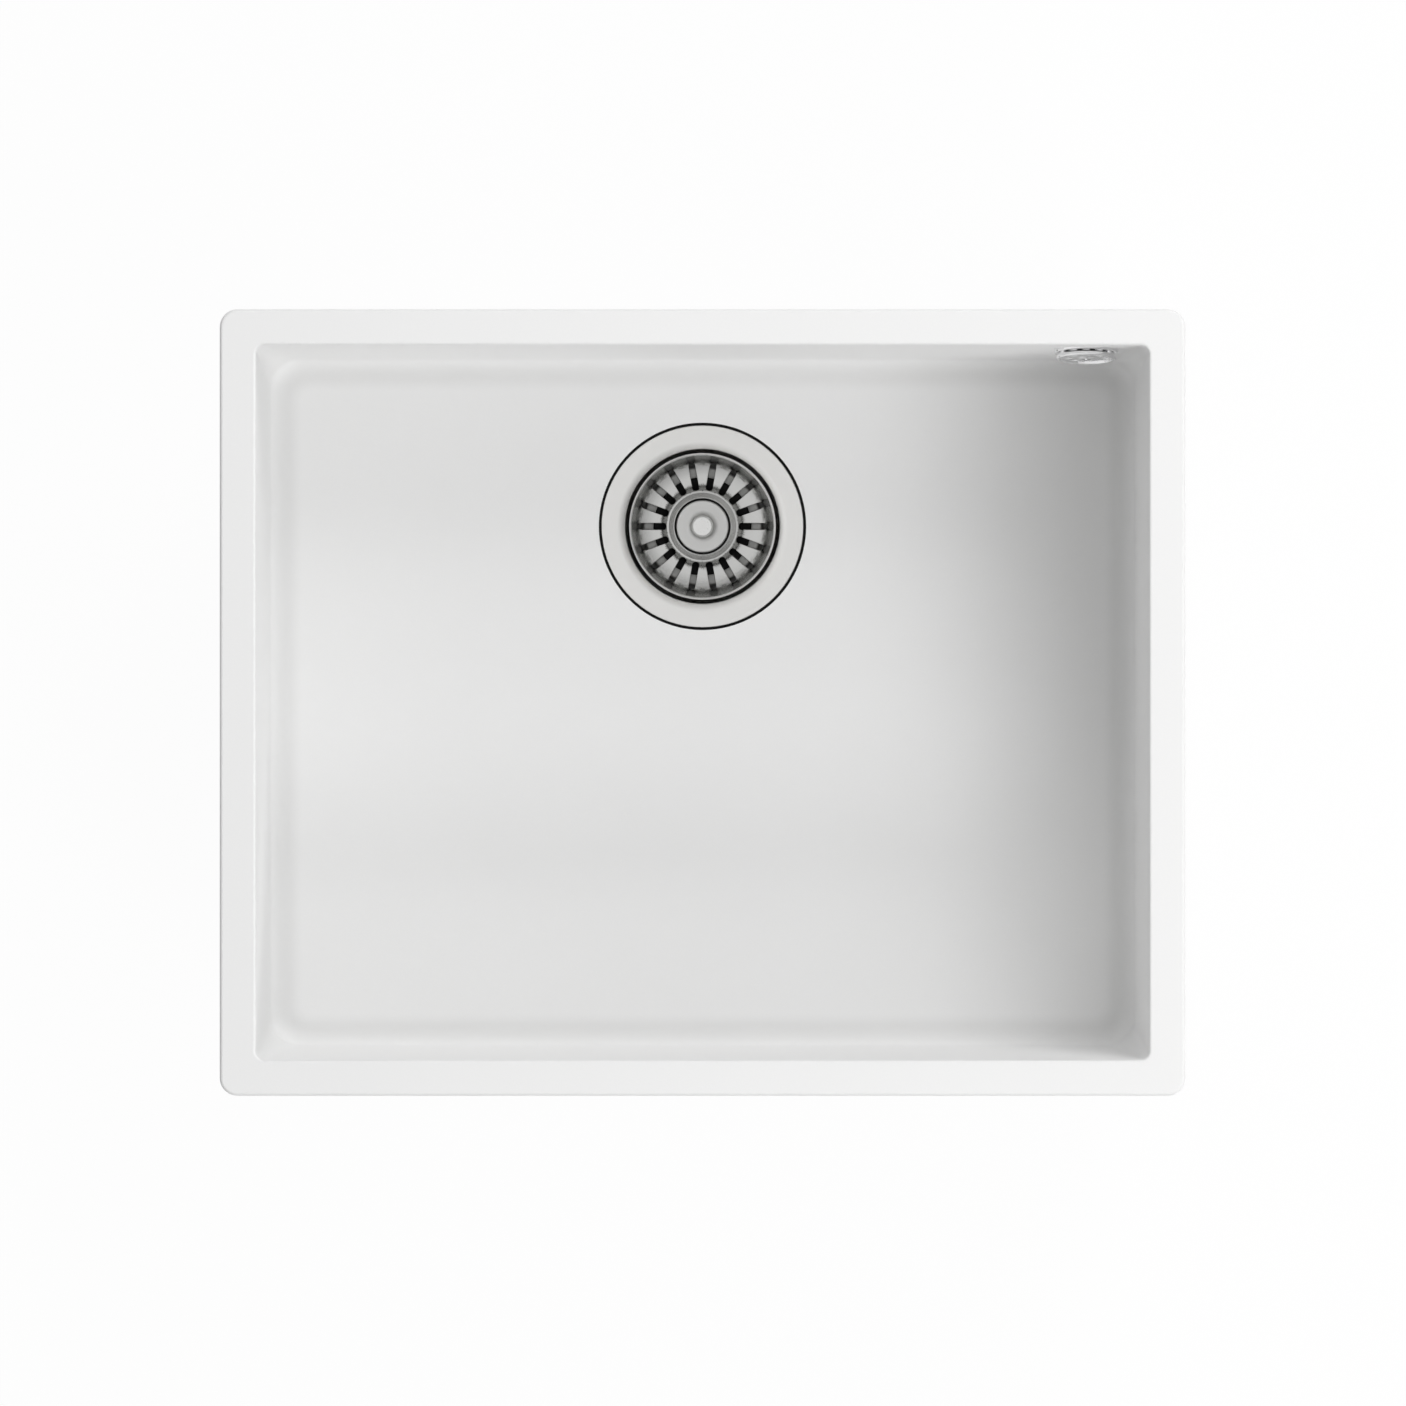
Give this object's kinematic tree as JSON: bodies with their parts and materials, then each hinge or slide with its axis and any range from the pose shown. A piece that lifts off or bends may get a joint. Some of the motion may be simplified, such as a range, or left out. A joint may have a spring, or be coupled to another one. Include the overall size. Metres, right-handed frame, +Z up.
{
  "type": "kitchen sink",
  "caption": "Rectangular undermount sink bowl in white composite, with a lift-out basket strainer in its waste and a wall overflow piped to the waste body.",
  "frame": {"origin": "middle of the rim's top face, which lies against the worktop's underside", "axes": "+X to the right, +Y to the rear and +Z up, for a user standing at the front"},
  "size_m": [0.54, 0.44, 0.298],
  "materials": {
    "white_composite": "satin mineral composite",
    "brass": "machined",
    "brushed_steel": "brushed",
    "satin_steel": "satin",
    "chrome": "polished",
    "black_rubber": "matte",
    "white_plastic": "moulded",
    "grey_plastic": "moulded"
  },
  "bodies": {
    "sink": {"sink_bowl": "white_composite", "rim_inserts": "brass", "waste_flange": "brushed_steel", "flange_gasket": "black_rubber", "body_gasket": "black_rubber", "waste_body": "white_plastic", "body_nut": "brass", "centre_screw": "satin_steel", "overflow_rosette": "chrome", "overflow_grille": "chrome", "overflow_screw": "chrome", "overflow_gasket": "black_rubber", "overflow_housing": "grey_plastic", "housing_nut": "brass", "housing_seal": "black_rubber", "overflow_duct": "white_plastic", "elbow_seal": "black_rubber", "overflow_elbow": "white_plastic", "overflow_pipe": "white_plastic", "elbow_nut": "grey_plastic", "elbow_washer": "black_rubber", "port_nut": "grey_plastic", "port_washer": "black_rubber"},
    "stem_bush": {"stem_bush": "grey_plastic"},
    "strainer": {"strainer_basket": "satin_steel", "hub_washer": "black_rubber", "hub_cap": "satin_steel", "lift_knob": "satin_steel", "strainer_post": "satin_steel", "stopper_plate": "satin_steel", "stopper_seal": "black_rubber", "post_nut": "satin_steel"}
  },
  "joints": [
    {"name": "strainer_lift", "type": "slide", "parent": "sink", "child": "stem_bush", "axis": [0, 0, 1], "range_m": [0, 0.27]},
    {"name": "strainer_turn", "type": "hinge", "parent": "stem_bush", "child": "strainer", "pos_m": [0, 0.0985, -0.24], "axis": [0, 0, 1], "continuous": true}
  ]
}
